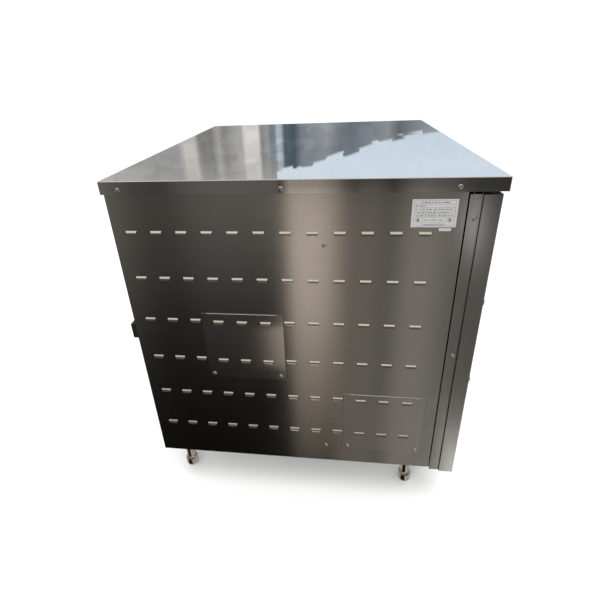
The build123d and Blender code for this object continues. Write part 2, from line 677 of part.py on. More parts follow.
def wire_shelf(level):
    """A chromed wire shelf that rests on the ledges of one level."""
    frame_radius = 3.2
    wire_radius = 1.8
    wires = 20
    x = (RACK_X[0] + LEDGE_INSET - 1.0, RACK_X[1] - LEDGE_INSET + 1.0)
    y = (RACK_Y[0] + 5.0, RACK_Y[1] - 5.0)
    z = FIRST_LEVEL_Z + LEVEL_PITCH * level + LEDGE_RADIUS + frame_radius + 0.1
    rails = [rod((at, y[0], z), (at, y[1], z), frame_radius) for at in x]
    ends = [rod((x[0], at, z), (x[1], at, z), frame_radius) for at in y]
    top_z = z + 1.2
    rungs = []
    for step in range(1, wires):
        at = y[0] + (y[1] - y[0]) * step / wires
        rungs.append(rod((x[0], at, top_z), (x[1], at, top_z), wire_radius))
    spine_x = sum(x) / 2
    spine = rod((spine_x, y[0], z - 1.5), (spine_x, y[1], z - 1.5), 2.2)
    return rails[0] + rails[1:] + ends + rungs + spine


# ---- Controls ------------------------------------------------------------------------------------
def knob(z):
    """A round skirted knob with a raised grip, seen end-on from the front."""
    face = DOOR_FRONT - 0.4
    skirt = [(0, 0), (14.0, 0), (14.0, 2.0), (12.6, 4.5), (12.0, 20.0), (10.8, 21.2), (0, 21.2)]
    body = turned(skirt, (CONTROL_X, face, z), FRONT)
    flutes = []
    for step in range(12):
        angle = radians(15 + 30 * step)
        x = CONTROL_X + 13.6 * cos(angle)
        z_at = z + 13.6 * sin(angle)
        flutes.append(rod((x, face - 6.0, z_at), (x, face - 22.0, z_at), 2.3))
    pointer = block((CONTROL_X - 0.7, CONTROL_X + 0.7), (face - 22.0, face - 20.6), (z + 2.0, z + 10.5))
    bore = rod((CONTROL_X, face + 1.0, z), (CONTROL_X, face - 14.0, z), SPINDLE_RADIUS)
    return body - flutes - pointer - bore


def spindle(z):
    return rod((CONTROL_X, DOOR_FRONT - 14.4, z), (CONTROL_X, DOOR_FRONT + 24.0, z), SPINDLE_RADIUS)


def control_unit(z, depth):
    """A knob-operated control behind the column's face: a case, and a threaded neck through the hole."""
    back = DOOR_FRONT + SHEET
    case = block((CONTROL_X - 20.0, CONTROL_X + 20.0), (back, back + depth), (z - 22.0, z + 22.0))
    neck = rod((CONTROL_X, back, z), (CONTROL_X, DOOR_FRONT, z), 4.9)
    bore_radius = SPINDLE_RADIUS + RUNNING_CLEARANCE
    bore = rod((CONTROL_X, DOOR_FRONT - 1.0, z), (CONTROL_X, DOOR_FRONT + 24.5, z), bore_radius)
    return case + neck - bore


def temperature_controls():
    """The thermostat behind the upper knob and the humidity control behind the lower one."""
    return group([control_unit(HEAT_KNOB_Z, 34.0), control_unit(HUMIDITY_KNOB_Z, 28.0)])


def rocker_pin(reach, radius):
    """The line that the rocker turns on, reach each side of its middle."""
    ends = [(CONTROL_X + side * reach, ROCKER_PIVOT_Y, SWITCH_Z) for side in (-1, 1)]
    return rod(*ends, radius)


def switch_housing():
    """A snap-in bezel with a pocket for the rocker, and a socket each side for its pin."""
    bezel = Pos(CONTROL_X, DOOR_FRONT - 1.0, SWITCH_Z) * Box(24.0, 2.0, 32.0)
    case = Pos(CONTROL_X, DOOR_FRONT + 13.0, SWITCH_Z) * Box(19.6, 26.0, 26.6)
    pocket = Pos(CONTROL_X, DOOR_FRONT + 2.5, SWITCH_Z) * Box(15.2, 11.0, 24.4)
    sockets = rocker_pin(ROCKER_PIN_REACH + 0.2, ROCKER_PIN_RADIUS + RUNNING_CLEARANCE)
    return bezel + case - pocket - sockets


def rocker_switch():
    """The rocker on its pin, tipped to its off side at rest. It turns about X."""
    corners = [(-10.6, 3.3), (-9.6, 6.7), (0, 5.1), (9.6, 6.7), (10.6, 3.3), (4.0, -2.7), (-4.0, -2.7)]
    outline = make_face(Polyline(*corners, close=True))
    side = Plane(origin=(CONTROL_X - 7.0, 0, 0), x_dir=UP, z_dir=RIGHT)
    bar = extrude(side * outline, amount=14.0)
    bar = Pos(0, ROCKER_PIVOT_Y, SWITCH_Z) * Rot(X=ROCKER_ANGLE) * bar
    return bar + rocker_pin(ROCKER_PIN_REACH, ROCKER_PIN_RADIUS)


def pilot_lights():
    lens = [(0, -3.0), (5.2, -3.0), (5.2, 0), (7.5, 0), (7.5, 1.2), (6.2, 3.2), (3.6, 4.6), (0, 5.0)]
    return group([turned(lens, (CONTROL_X, DOOR_FRONT, z), FRONT) for z in PILOT_Z])


def dial_rod(y, radius):
    """A round bar on the thermometer's axis."""
    return rod((CONTROL_X, y[0], THERMOMETER_Z), (CONTROL_X, y[1], THERMOMETER_Z), radius)


def thermometer_case():
    """A dial thermometer's cup: its front holds the dial face, its back goes through the column."""
    outline = [(0, -18.0), (24.5, -18.0), (24.5, 0), (THERMOMETER_RADIUS, 0), (THERMOMETER_RADIUS, 7.0)]
    outline += [(28.0, 7.0), (28.0, 2.0), (0, 2.0)]
    cup = turned(outline, (CONTROL_X, DOOR_FRONT, THERMOMETER_Z), FRONT)
    return cup + dial_rod((DOOR_FRONT - 4.6, DOOR_FRONT - 2.0), NEEDLE_PIN_RADIUS)


def thermometer_needle():
    """The needle and its hub, on the case's centre pin."""
    y = (DOOR_FRONT - 4.2, DOOR_FRONT - 3.0)
    hub = dial_rod(y, 3.2)
    blade = block((-0.7, 0.7), y, (-7.0, 22.0))
    blade = Pos(CONTROL_X, 0, THERMOMETER_Z) * Rot(Y=NEEDLE_REST_ANGLE) * blade
    bore_span = (y[0] - 1, y[1] + 1)
    return hub + blade - dial_rod(bore_span, NEEDLE_PIN_RADIUS + RUNNING_CLEARANCE)


def thermometer_lens():
    return dial_rod((DOOR_FRONT - 6.8, DOOR_FRONT - 5.2), 27.9)


# ---- Rear terminal box ---------------------------------------------------------------------------
def rear_terminal_box():
    x = (TERMINAL_X - TERMINAL_HALF_WIDTH, TERMINAL_X + TERMINAL_HALF_WIDTH)
    z = (TERMINAL_Z - TERMINAL_HALF_HEIGHT, TERMINAL_Z + TERMINAL_HALF_HEIGHT)
    shell = fillet(block(x, (BODY_REAR, TERMINAL_REAR), z).faces().sort_by(Axis.Y)[-1].edges(), 3.0)
    wall = TERMINAL_WALL
    inner_y = (BODY_REAR - 1, TERMINAL_REAR - wall)
    hollow = block((x[0] + wall, x[1] - wall), inner_y, (z[0] + wall, z[1] - wall))
    entry = rod((x[1] - 5, GLAND_Y, TERMINAL_Z), (x[1] + 5, GLAND_Y, TERMINAL_Z), GLAND_THREAD + 0.1)
    return shell - hollow - entry


def cable_gland():
    """A round gland in the box's right side, with a clear bore for a lead."""
    wall_x = TERMINAL_X + TERMINAL_HALF_WIDTH
    outline = [(GLAND_BORE, -10.0), (GLAND_THREAD, -10.0), (GLAND_THREAD, 0), (13.0, 0), (13.0, 6.0)]
    outline += [(11.5, 7.0), (11.5, 18.0), (9.5, 22.0), (GLAND_BORE, 22.0)]
    return turned(outline, (wall_x, GLAND_Y, TERMINAL_Z), RIGHT)


# ---- Door ----------------------------------------------------------------------------------------
def pivot_bore(z, radius):
    return rod((PIVOT_X, PIVOT_Y, z[0]), (PIVOT_X, PIVOT_Y, z[1]), radius)


def door_outer_skin():
    """The door's front pan, with its four sides and the window opening."""
    z = (FRONT_BOTTOM, FRONT_TOP)
    pan = block(DOOR_X, (DOOR_FRONT, DOOR_BACK - SHEET), z)
    pan = fillet(pan.faces().sort_by(Axis.Y)[0].edges(), 1.8)
    inner_x = (DOOR_X[0] + SHEET, DOOR_X[1] - SHEET)
    hollow = block(inner_x, (DOOR_FRONT + SHEET, DOOR_BACK + 1), (z[0] + SHEET, z[1] - SHEET))
    opening = block(WINDOW_X, (DOOR_FRONT - 1, DOOR_BACK + 1), WINDOW_Z)
    return pan - hollow - opening - pivot_bore((z[0] - 1, z[1] + 1), BUSHING_RADIUS)


def door_inner_skin():
    z = (FRONT_BOTTOM, FRONT_TOP)
    return frame_plate(DOOR_X, (DOOR_BACK - SHEET, DOOR_BACK), z, WINDOW_X, WINDOW_Z)


def door_insulation():
    gap = 0.3
    x = (DOOR_X[0] + SHEET + gap, DOOR_X[1] - SHEET - 18.0)
    y = (DOOR_FRONT + SHEET + gap, DOOR_BACK - SHEET - gap)
    z = (FRONT_BOTTOM + SHEET + gap, FRONT_TOP - SHEET - gap)
    return frame_plate(x, y, z, (WINDOW_X[0] - 12, WINDOW_X[1] + 12), (WINDOW_Z[0] - 12, WINDOW_Z[1] + 12))


def door_window():
    """Two glass panes, one against each skin."""
    pane = 4.0
    x = (WINDOW_X[0] - 10, WINDOW_X[1] + 10)
    z = (WINDOW_Z[0] - 10, WINDOW_Z[1] + 10)
    fronts = (DOOR_FRONT + SHEET, DOOR_BACK - SHEET - pane)
    return group([block(x, (y, y + pane), z) for y in fronts])


def window_trim():
    """A bright frame around the window, on the door's face."""
    border = 16.0
    x = (WINDOW_X[0] - border, WINDOW_X[1] + border)
    z = (WINDOW_Z[0] - border, WINDOW_Z[1] + border)
    ring = frame_plate(x, (DOOR_FRONT - 2.4, DOOR_FRONT), z, WINDOW_X, WINDOW_Z)
    return chamfer(ring.faces().sort_by(Axis.Y)[0].edges(), 1.2)


def door_gasket():
    """Four strips of seal that stop just short of the face frame."""
    width = 12.0
    y = (DOOR_BACK, FRAME_FRONT - 0.4)
    x = (-361.0, 451.5)
    z = (182.0, 990.0)
    strips = [
        block((x[0], x[0] + width), y, z),
        block((x[1] - width, x[1]), y, z),
        block((x[0] + width, x[1] - width), y, (z[0], z[0] + width)),
        block((x[0] + width, x[1] - width), y, (z[1] - width, z[1])),
    ]
    return group(strips)


def door_handle():
    """An upright round bar on two turned posts with flared feet."""
    bar_y = HANDLE_FRONT + HANDLE_RADIUS
    bar = rod((HANDLE_X, bar_y, HANDLE_Z[0]), (HANDLE_X, bar_y, HANDLE_Z[1]), HANDLE_RADIUS)
    bar = fillet(bar.edges().filter_by(GeomType.CIRCLE), 3.0)
    post = [(0, 0), (13.0, 0), (13.0, 3.0), (9.0, 6.0), (7.5, 12.0), (7.5, 36.0), (0, 36.0)]
    posts = [turned(post, (HANDLE_X, DOOR_FRONT, z), FRONT) for z in (HANDLE_Z[0] + 30, HANDLE_Z[1] - 30)]
    return bar + posts


def hinge_bushings():
    """A flanged bushing in the door's top and bottom edges."""
    reach = 22.0
    upper = pivot_bore((FRONT_TOP - reach, FRONT_TOP), BUSHING_RADIUS)
    lower = pivot_bore((FRONT_BOTTOM, FRONT_BOTTOM + reach), BUSHING_RADIUS)
    clearance = PIVOT_RADIUS + RUNNING_CLEARANCE
    return group([part - pivot_bore((FRONT_BOTTOM - 1, FRONT_TOP + 1), clearance) for part in (upper, lower)])


def hinge_bracket(plate_z, leg_z, pin_z):
    """An angle bracket on the face frame: a plate that carries the pin, and a leg against the frame."""
    overhang = 5.0
    plate = block(BRACKET_X, (DOOR_FRONT - overhang, FRAME_FRONT), plate_z)
    corner = plate.edges().filter_by(Axis.Z).sort_by(lambda edge: edge.center().X - edge.center().Y)[-1]
    brace = block(BRACKET_X, (FRAME_FRONT - BRACKET_PLATE, FRAME_FRONT), leg_z)
    return fillet(corner, 6.0) + brace + pivot_bore(pin_z, PIVOT_RADIUS)


def hinge_brackets():
    """One bracket above the door and one below it, each with its pin."""
    pin = 18.0
    low = FRONT_TOP + BRACKET_GAP
    upper = hinge_bracket((low, low + BRACKET_PLATE), (low, PANEL_TOP - 4.0), (FRONT_TOP - pin, low))
    high = FRONT_BOTTOM - BRACKET_GAP
    under = high - BRACKET_PLATE
    lower = hinge_bracket((under, high), (under, 172.0), (high, FRONT_BOTTOM + pin))
    return group([upper, lower])


def door_catch():
    """A magnet on the left stile's face, inside the gasket's line."""
    return block(CATCH_X, (FRAME_FRONT - 2.4, FRAME_FRONT), CATCH_Z)


def catch_strike():
    """The steel plate on the door that the magnet holds."""
    return block(CATCH_X, (DOOR_BACK, FRAME_FRONT - 2.8), CATCH_Z)


# ---- Every node ----------------------------------------------------------------------------------
NODES = {
    "top_lid": top_lid,
    "left_side_panel": left_side_panel,
    "upper_access_cover": lambda: access_cover(UPPER_COVER),
    "lower_access_cover": lambda: access_cover(LOWER_COVER),
    "right_side_panel": right_side_panel,
    "rear_panel": rear_panel,
    "base_pan": base_pan,
    "front_rails": front_rails,
    "front_stiles": front_stiles,
    "control_panel": control_panel,
    "casing_screws": casing_screws,
    "rating_labels": rating_labels,
    "legs": lambda: group([leg(side * LEG_X, y) for side in (-1, 1) for y in LEG_Y]),
    "foot_front_left": lambda: foot(-LEG_X, LEG_Y[0]),
    "foot_front_right": lambda: foot(LEG_X, LEG_Y[0]),
    "foot_rear_left": lambda: foot(-LEG_X, LEG_Y[1]),
    "foot_rear_right": lambda: foot(LEG_X, LEG_Y[1]),
    "service_partition": service_partition,
    "fan_motor": fan_motor,
    "motor_bracket": motor_bracket,
    "blower_shaft": blower_shaft,
    "blower_wheel": blower_wheel,
    "air_heater": air_heater,
    "terminal_block": terminal_block,
    "power_relay": power_relay,
    "liner_left_wall": liner_left_wall,
    "liner_right_wall": liner_right_wall,
    "liner_back_wall": liner_back_wall,
    "liner_ceiling": liner_ceiling,
    "liner_floor": liner_floor,
    "insulation": insulation,
    "air_baffle": air_baffle,
    "water_pan": water_pan,
    "water_heater": water_heater,
    "shelf_racks": lambda: group([rack(RACK_X[0], 1), rack(RACK_X[1], -1)]),
    "wire_shelves": lambda: group([wire_shelf(level) for level in SHELF_AT_LEVELS]),
    "heat_knob": lambda: knob(HEAT_KNOB_Z),
    "humidity_knob": lambda: knob(HUMIDITY_KNOB_Z),
    "heat_spindle": lambda: spindle(HEAT_KNOB_Z),
    "humidity_spindle": lambda: spindle(HUMIDITY_KNOB_Z),
    "temperature_controls": temperature_controls,
    "switch_housing": switch_housing,
    "rocker_switch": rocker_switch,
    "pilot_lights": pilot_lights,
    "thermometer_case": thermometer_case,
    "thermometer_needle": thermometer_needle,
    "thermometer_lens": thermometer_lens,
    "rear_terminal_box": rear_terminal_box,
    "cable_gland": cable_gland,
    "door_outer_skin": door_outer_skin,
    "door_inner_skin": door_inner_skin,
    "door_insulation": door_insulation,
    "door_window": door_window,
    "window_trim": window_trim,
    "door_gasket": door_gasket,
    "door_handle": door_handle,
    "hinge_bushings": hinge_bushings,
    "hinge_brackets": hinge_brackets,
    "door_catch": door_catch,
    "catch_strike": catch_strike,
}

os.makedirs("parts", exist_ok=True)
for name, build in NODES.items():
    export_step(build(), f"parts/{name}.step")
print(len(NODES), "nodes written")
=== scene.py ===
import json
import random
from math import cos, degrees, pi, radians, sin

import bmesh
import bpy
from mathutils import Euler, Matrix, Vector


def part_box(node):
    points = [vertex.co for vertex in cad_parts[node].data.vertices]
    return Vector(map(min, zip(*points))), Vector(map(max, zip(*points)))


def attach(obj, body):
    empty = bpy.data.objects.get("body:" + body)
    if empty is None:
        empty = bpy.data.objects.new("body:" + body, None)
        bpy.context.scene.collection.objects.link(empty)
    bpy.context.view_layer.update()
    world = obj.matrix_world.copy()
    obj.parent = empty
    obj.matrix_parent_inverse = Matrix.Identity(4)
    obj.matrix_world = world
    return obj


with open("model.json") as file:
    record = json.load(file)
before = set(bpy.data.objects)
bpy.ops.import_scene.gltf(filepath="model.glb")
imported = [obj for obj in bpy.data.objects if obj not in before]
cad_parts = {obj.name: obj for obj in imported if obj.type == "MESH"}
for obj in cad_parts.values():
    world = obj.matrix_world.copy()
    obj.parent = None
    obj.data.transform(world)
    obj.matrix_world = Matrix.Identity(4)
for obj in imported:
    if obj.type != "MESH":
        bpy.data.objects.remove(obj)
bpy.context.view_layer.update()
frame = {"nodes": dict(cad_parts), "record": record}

# ---- Camera: on the louvered side, looking along +X and down ------------------------------------------
CAMERA_PLACE = (-1.319, -0.098, 1.2586)
CAMERA_HEADING = -82.44  # degrees about Z; 0 looks along +Y
CAMERA_DOWN = 24.10  # degrees below the horizon
CAMERA_ROLL = -2.68
CAMERA_LENS = 23.43
CAMERA_SHIFT = (0.0186, -0.0909)


def make_camera():
    data = bpy.data.cameras.new("camera")
    data.lens = CAMERA_LENS
    data.sensor_width = 36.0
    data.shift_x, data.shift_y = CAMERA_SHIFT
    camera = bpy.data.objects.new("camera", data)
    turn = Euler((radians(90 - CAMERA_DOWN), 0, radians(CAMERA_HEADING))).to_matrix()
    turn = turn @ Matrix.Rotation(radians(CAMERA_ROLL), 3, "Z")
    camera.matrix_world = Matrix.Translation(CAMERA_PLACE) @ turn.to_4x4()
    bpy.context.scene.collection.objects.link(camera)
    bpy.context.scene.camera = camera


# ---- Node helpers --------------------------------------------------------------------------------------
class Graph:
    """A node tree with one short call for each kind of node used here."""

    def __init__(self, tree):
        self.tree = tree

    def node(self, kind, inputs=(), **settings):
        made = self.tree.nodes.new(kind)
        for key, value in settings.items():
            setattr(made, key, value)
        for key, value in dict(inputs).items():
            self.feed(made.inputs[key], value)
        return made

    def feed(self, socket, value):
        if isinstance(value, bpy.types.NodeSocket):
            self.tree.links.new(value, socket)
        else:
            socket.default_value = value

    def maths(self, operation, first, second=0.0):
        return self.node("ShaderNodeMath", {0: first, 1: second}, operation=operation).outputs[0]

    def mix(self, amount, first, second):
        """A colour mix; first and second are colours or sockets."""
        made = self.node("ShaderNodeMix", data_type="RGBA")
        self.feed(made.inputs[0], amount)
        self.feed(made.inputs[6], first)
        self.feed(made.inputs[7], second)
        return made.outputs[2]

    def ramp(self, value, stops):
        """Colours along 0..1. stops are (place, (r, g, b))."""
        made = self.node("ShaderNodeValToRGB", {"Fac": value})
        points = made.color_ramp.elements
        while len(points) < len(stops):
            points.new(0.5)
        for point, (place, colour) in zip(points, stops):
            point.position = place
            point.color = (*colour, 1.0)
        return made.outputs["Color"]

    def level(self, value, low, high, low_to=0.0, high_to=1.0, smooth=False):
        """value carried from low..high to low_to..high_to, and held at the ends."""
        kind = "SMOOTHSTEP" if smooth else "LINEAR"
        inputs = {"Value": value, "From Min": low, "From Max": high, "To Min": low_to, "To Max": high_to}
        return self.node("ShaderNodeMapRange", inputs, interpolation_type=kind).outputs[0]

    def place(self, scale=(1, 1, 1)):
        """Object coordinates in metres, stretched by a scale on each axis."""
        where = self.node("ShaderNodeTexCoord").outputs["Object"]
        return self.node("ShaderNodeMapping", {"Vector": where, "Scale": scale}).outputs[0]

    def noise(self, where, scale=1.0, detail=2.0, rough=0.5):
        inputs = {"Vector": where, "Scale": scale, "Detail": detail, "Roughness": rough}
        return self.node("ShaderNodeTexNoise", inputs).outputs["Fac"]

    def bump(self, height, distance, strength=1.0):
        inputs = {"Height": height, "Distance": distance, "Strength": strength}
        return self.node("ShaderNodeBump", inputs).outputs[0]


class Finish(Graph):
    """A new Principled material."""

    def __init__(self, name, **constants):
        self.material = bpy.data.materials.new(name)
        self.material.use_nodes = True
        super().__init__(self.material.node_tree)
        self.shader = self.tree.nodes["Principled BSDF"]
        self.set(**constants)

    def set(self, **inputs):
        for key, value in inputs.items():
            self.feed(self.shader.inputs[key.replace("_", " ")], value)


# ---- Materials -----------------------------------------------------------------------------------------
STEEL = (0.60, 0.585, 0.56)


def brushed(name, colour, roughness, anisotropy, grain, smear=(0.02, 0.03, 1), streaks=1.0, painted_shade=0.6):
    """Brushed sheet. grain is the noise scale on each axis, fine across the lines and coarse along them.

    Reflections stretch across the grain, along whatever part of smear lies in the surface.
    """
    finish = Finish(name, Metallic=1.0, Anisotropic=anisotropy)
    fine = finish.noise(finish.place(grain), 1.0, 3.0, 0.6)
    broad = finish.noise(finish.place(tuple(scale * 0.15 for scale in grain)), 1.0, 3.0)
    cloud = finish.noise(finish.place(), 4.0, 4.0, 0.6)
    handled = finish.noise(finish.place(), 9.0, 6.0, 0.7)
    lines = finish.maths("ADD", finish.maths("MULTIPLY", fine, 0.5), finish.maths("MULTIPLY", broad, 0.5))
    dark = tuple(value * (1 - 0.05 * streaks) for value in colour)
    light = tuple(value * (1 + 0.05 * streaks) for value in colour)
    tone = finish.mix(finish.level(lines, 0.36, 0.64), (*dark, 1), (*light, 1))
    warm = (colour[0], colour[1] * 0.97, colour[2] * 0.90, 1)
    tone = finish.mix(finish.level(cloud, 0.35, 0.7, 0.0, 0.3), tone, warm)
    # Painted shade: ambient occlusion darkens the base colour towards a dark shade colour in creases, at
    # sheet overlaps and round screws, labels and hoods. The last argument of brushed sets how dark this
    # painted shade goes.
    crease = finish.node("ShaderNodeAmbientOcclusion", {"Distance": 0.006}, samples=4).outputs["AO"]
    shade_colour = tuple(value * 0.25 for value in colour)
    tone = finish.mix(finish.level(crease, 0.35, 0.95, painted_shade, 0.0), tone, (*shade_colour, 1))
    rough = finish.level(lines, 0.3, 0.7, roughness * 0.92, roughness * 1.08)
    rough = finish.maths("ADD", rough, finish.level(handled, 0.5, 0.75, 0.0, 0.02 * streaks, smooth=True))
    facing = finish.node("ShaderNodeNewGeometry").outputs["Normal"]
    along = finish.node("ShaderNodeVectorMath", {0: facing, 1: smear}, operation="CROSS_PRODUCT").outputs[0]
    tangent = finish.node("ShaderNodeVectorMath", {0: along, 1: facing}, operation="CROSS_PRODUCT").outputs[0]
    normal = finish.bump(lines, 0.00002, 0.25 * streaks)
    finish.set(Base_Color=tone, Roughness=rough, Normal=normal, Tangent=tangent)
    return finish


LEVEL_GRAIN = (1.5, 1.5, 1400.0)


def casing_steel():
    return brushed("casing_steel", STEEL, 0.15, 0.72, LEVEL_GRAIN).material


def cover_steel():
    """The access covers' sheet: a little bowed, so that it mirrors the room from another angle."""
    # Deeper painted shade here, for the dark lines along the covers' edges.
    finish = brushed("cover_steel", STEEL, 0.18, 0.70, LEVEL_GRAIN, painted_shade=0.75)
    low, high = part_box("upper_access_cover")
    middle = (low[2] + high[2]) / 2
    reach = (high[2] - low[2]) * 0.42
    height = finish.node("ShaderNodeSeparateXYZ", {0: finish.place()}).outputs[2]
    bow = finish.maths("ABSOLUTE", finish.maths("SUBTRACT", height, middle))
    bow = finish.level(bow, reach * 0.5, reach, 0.030, 0.004, smooth=True)
    pitted = finish.noise(finish.place(), 420.0, 3.0, 0.6)
    tilt = finish.maths("MULTIPLY", bow, finish.level(pitted, 0.3, 0.7, 0.6, 1.4))
    aside = finish.node("ShaderNodeCombineXYZ", {1: finish.maths("MULTIPLY", tilt, -1.0)}).outputs[0]
    normal = finish.shader.inputs["Normal"].links[0].from_socket
    turned = finish.node("ShaderNodeVectorMath", {0: normal, 1: aside}, operation="ADD").outputs[0]
    finish.set(Normal=turned)
    return finish.material


def lid_steel():
    colour = (0.64, 0.64, 0.635)
    grain = (1.5, 900.0, 900.0)
    return brushed("lid_steel", colour, 0.02, 0.3, grain, smear=(1, 0.1, 0.3), streaks=0.4).material


def liner_steel():
    return brushed("liner_steel", (0.66, 0.655, 0.64), 0.22, 0.4, LEVEL_GRAIN).material


def frame_steel():
    return brushed("frame_steel", (0.52, 0.51, 0.49), 0.32, 0.3, LEVEL_GRAIN).material


def galvanised_steel():
    """Zinc-coated sheet with its crystal spangle."""
    finish = Finish("galvanised_steel", Metallic=1.0)
    cells = finish.node("ShaderNodeTexVoronoi", {"Vector": finish.place(), "Scale": 90.0})
    tone = finish.ramp(cells.outputs["Color"], [(0.0, (0.36, 0.37, 0.38)), (1.0, (0.58, 0.59, 0.60))])
    rough = finish.level(finish.noise(finish.place(), 40.0, 3.0), 0.3, 0.7, 0.35, 0.55)
    finish.set(Base_Color=tone, Roughness=rough)
    return finish.material


def polished(name, colour, roughness, wear=0.1):
    """Bright plate with a faint haze and fine wipe marks."""
    finish = Finish(name, Metallic=1.0)
    haze = finish.noise(finish.place(), 60.0, 5.0, 0.65)
    wipes = finish.noise(finish.place((300.0, 300.0, 30.0)), 1.0, 3.0)
    dull = tuple(value * 0.8 for value in colour)
    tone = finish.mix(finish.level(haze, 0.45, 0.75), (*colour, 1), (*dull, 1))
    rough = finish.level(haze, 0.4, 0.7, roughness, roughness + wear)
    finish.set(Base_Color=tone, Roughness=rough, Normal=finish.bump(wipes, 0.00003, 0.3))
    return finish.material


def leg_metal():
    return polished("leg_metal", (0.63, 0.58, 0.50), 0.12)


def screw_steel():
    return polished("screw_steel", (0.74, 0.70, 0.64), 0.16)


def wire_chrome():
    return polished("wire_chrome", (0.72, 0.73, 0.74), 0.08)


def dial_metal():
    return polished("dial_metal", (0.74, 0.74, 0.73), 0.12)


def bushing_brass():
    return polished("bushing_brass", (0.70, 0.52, 0.24), 0.25)


def element_sheath():
    """A heater's sheath, coloured by heat."""
    finish = Finish("element_sheath", Metallic=1.0)
    heat = finish.noise(finish.place(), 25.0, 3.0)
    straws = [(0.3, (0.10, 0.08, 0.07)), (0.55, (0.26, 0.19, 0.13)), (0.75, (0.16, 0.17, 0.22))]
    tone = finish.ramp(heat, straws)
    finish.set(Base_Color=tone, Roughness=finish.level(heat, 0.3, 0.7, 0.35, 0.6))
    return finish.material


def moulded(name, colour, roughness=0.45, grain=900.0, dust=0.5, shine=0.5):
    """Moulded plastic: a fine pebble in its skin, and a little dust."""
    finish = Finish(name)
    pebble = finish.noise(finish.place(), grain, 2.0)
    film = finish.noise(finish.place(), 18.0, 5.0, 0.7)
    dusty = tuple(value * 0.8 + 0.06 for value in colour)
    tone = finish.mix(finish.level(film, 0.5, 0.8, 0.0, dust), (*colour, 1), (*dusty, 1))
    rough = finish.level(film, 0.4, 0.8, roughness, roughness + 0.18)
    finish.set(Base_Color=tone, Roughness=rough, Specular_IOR_Level=shine)
    finish.set(Normal=finish.bump(pebble, 0.00012, 0.4))
    return finish.material


def black_plastic():
    return moulded("black_plastic", (0.008, 0.008, 0.008), 0.36, dust=0.2, shine=0.2)


def grey_plastic():
    return moulded("grey_plastic", (0.18, 0.19, 0.20))


def ivory_plastic():
    return moulded("ivory_plastic", (0.62, 0.58, 0.46))


def gasket_rubber():
    return moulded("gasket_rubber", (0.02, 0.02, 0.022), 0.55, 500.0)


def lamp_lens():
    finish = Finish("lamp_lens", Roughness=0.12, Transmission_Weight=0.55, IOR=1.49)
    prism = finish.node("ShaderNodeTexWave", {"Vector": finish.place(), "Scale": 160.0}, wave_type="RINGS")
    tone = finish.ramp(prism.outputs["Fac"], [(0.0, (0.75, 0.16, 0.01)), (1.0, (0.95, 0.34, 0.04))])
    finish.set(Base_Color=tone, Normal=finish.bump(prism.outputs["Fac"], 0.0002, 0.5))
    return finish.material


def glass(name, tint, rough_to):
    """A thin clear pane: light passes straight through, and a film of wipes dulls what it mirrors."""
    finish = Finish(name, Metallic=1.0)
    film = finish.noise(finish.place((6.0, 6.0, 2.0)), 4.0, 5.0, 0.7)
    dull = tuple(value * 0.97 for value in tint)
    tone = finish.mix(finish.level(film, 0.4, 0.8), (*tint, 1), (*dull, 1))
    finish.set(Base_Color=tone, Roughness=finish.level(film, 0.4, 0.8, 0.0, rough_to))
    clear = finish.node("ShaderNodeBsdfTransparent", {"Color": tone}).outputs[0]
    edge_on = finish.node("ShaderNodeFresnel", {"IOR": 1.5}).outputs[0]
    pane = finish.node("ShaderNodeMixShader", {0: edge_on, 1: clear, 2: finish.shader.outputs[0]})
    finish.feed(finish.tree.nodes["Material Output"].inputs["Surface"], pane.outputs[0])
    return finish.material


def window_glass():
    return glass("window_glass", (0.97, 0.985, 0.98), 0.05)


def dial_glass():
    return glass("dial_glass", (0.97, 0.98, 0.98), 0.03)


def needle_black():
    return moulded("needle_black", (0.01, 0.01, 0.01), 0.3)


def motor_paint():
    """Black enamel with orange-peel."""
    finish = Finish("motor_paint", Metallic=0.0, Coat_Weight=0.5, Coat_Roughness=0.15)
    peel = finish.noise(finish.place(), 350.0, 2.0)
    dirt = finish.noise(finish.place(), 30.0, 4.0, 0.65)
    tone = finish.mix(finish.level(dirt, 0.45, 0.75), (0.018, 0.02, 0.023, 1), (0.06, 0.055, 0.05, 1))
    rough = finish.level(dirt, 0.4, 0.8, 0.3, 0.6)
    finish.set(Base_Color=tone, Roughness=rough, Normal=finish.bump(peel, 0.0002, 0.3))
    return finish.material


def mineral_wool():
    """Pressed fibre, yellow-brown."""
    finish = Finish("mineral_wool", Roughness=0.95, Sheen_Weight=0.3)
    fibres = finish.noise(finish.place((900.0, 900.0, 200.0)), 1.0, 4.0, 0.7)
    clumps = finish.noise(finish.place(), 45.0, 4.0, 0.6)
    tone = finish.mix(fibres, (0.42, 0.34, 0.18, 1), (0.70, 0.60, 0.38, 1))
    tone = finish.mix(finish.level(clumps, 0.4, 0.7, 0.0, 0.4), tone, (0.34, 0.27, 0.15, 1))
    finish.set(Base_Color=tone, Normal=finish.bump(fibres, 0.001, 0.8))
    return finish.material


def label_foil():
    """Matt silver foil with a fine wash of print tone."""
    finish = Finish("label_foil", Metallic=0.35)
    grain = finish.noise(finish.place((40.0, 40.0, 900.0)), 1.0, 3.0)
    stain = finish.noise(finish.place(), 60.0, 4.0, 0.6)
    tone = finish.mix(finish.level(stain, 0.4, 0.75, 0.0, 0.5), (0.50, 0.50, 0.50, 1), (0.40, 0.39, 0.37, 1))
    finish.set(Base_Color=tone, Roughness=finish.level(grain, 0.3, 0.7, 0.42, 0.55))
    return finish.material


def ink():
    finish = Finish("ink", Roughness=0.6)
    wear = finish.noise(finish.place(), 900.0, 3.0)
    faded = finish.level(wear, 0.35, 0.75)
    finish.set(Base_Color=finish.mix(faded, (0.035, 0.035, 0.04, 1), (0.16, 0.16, 0.165, 1)))
    return finish.material


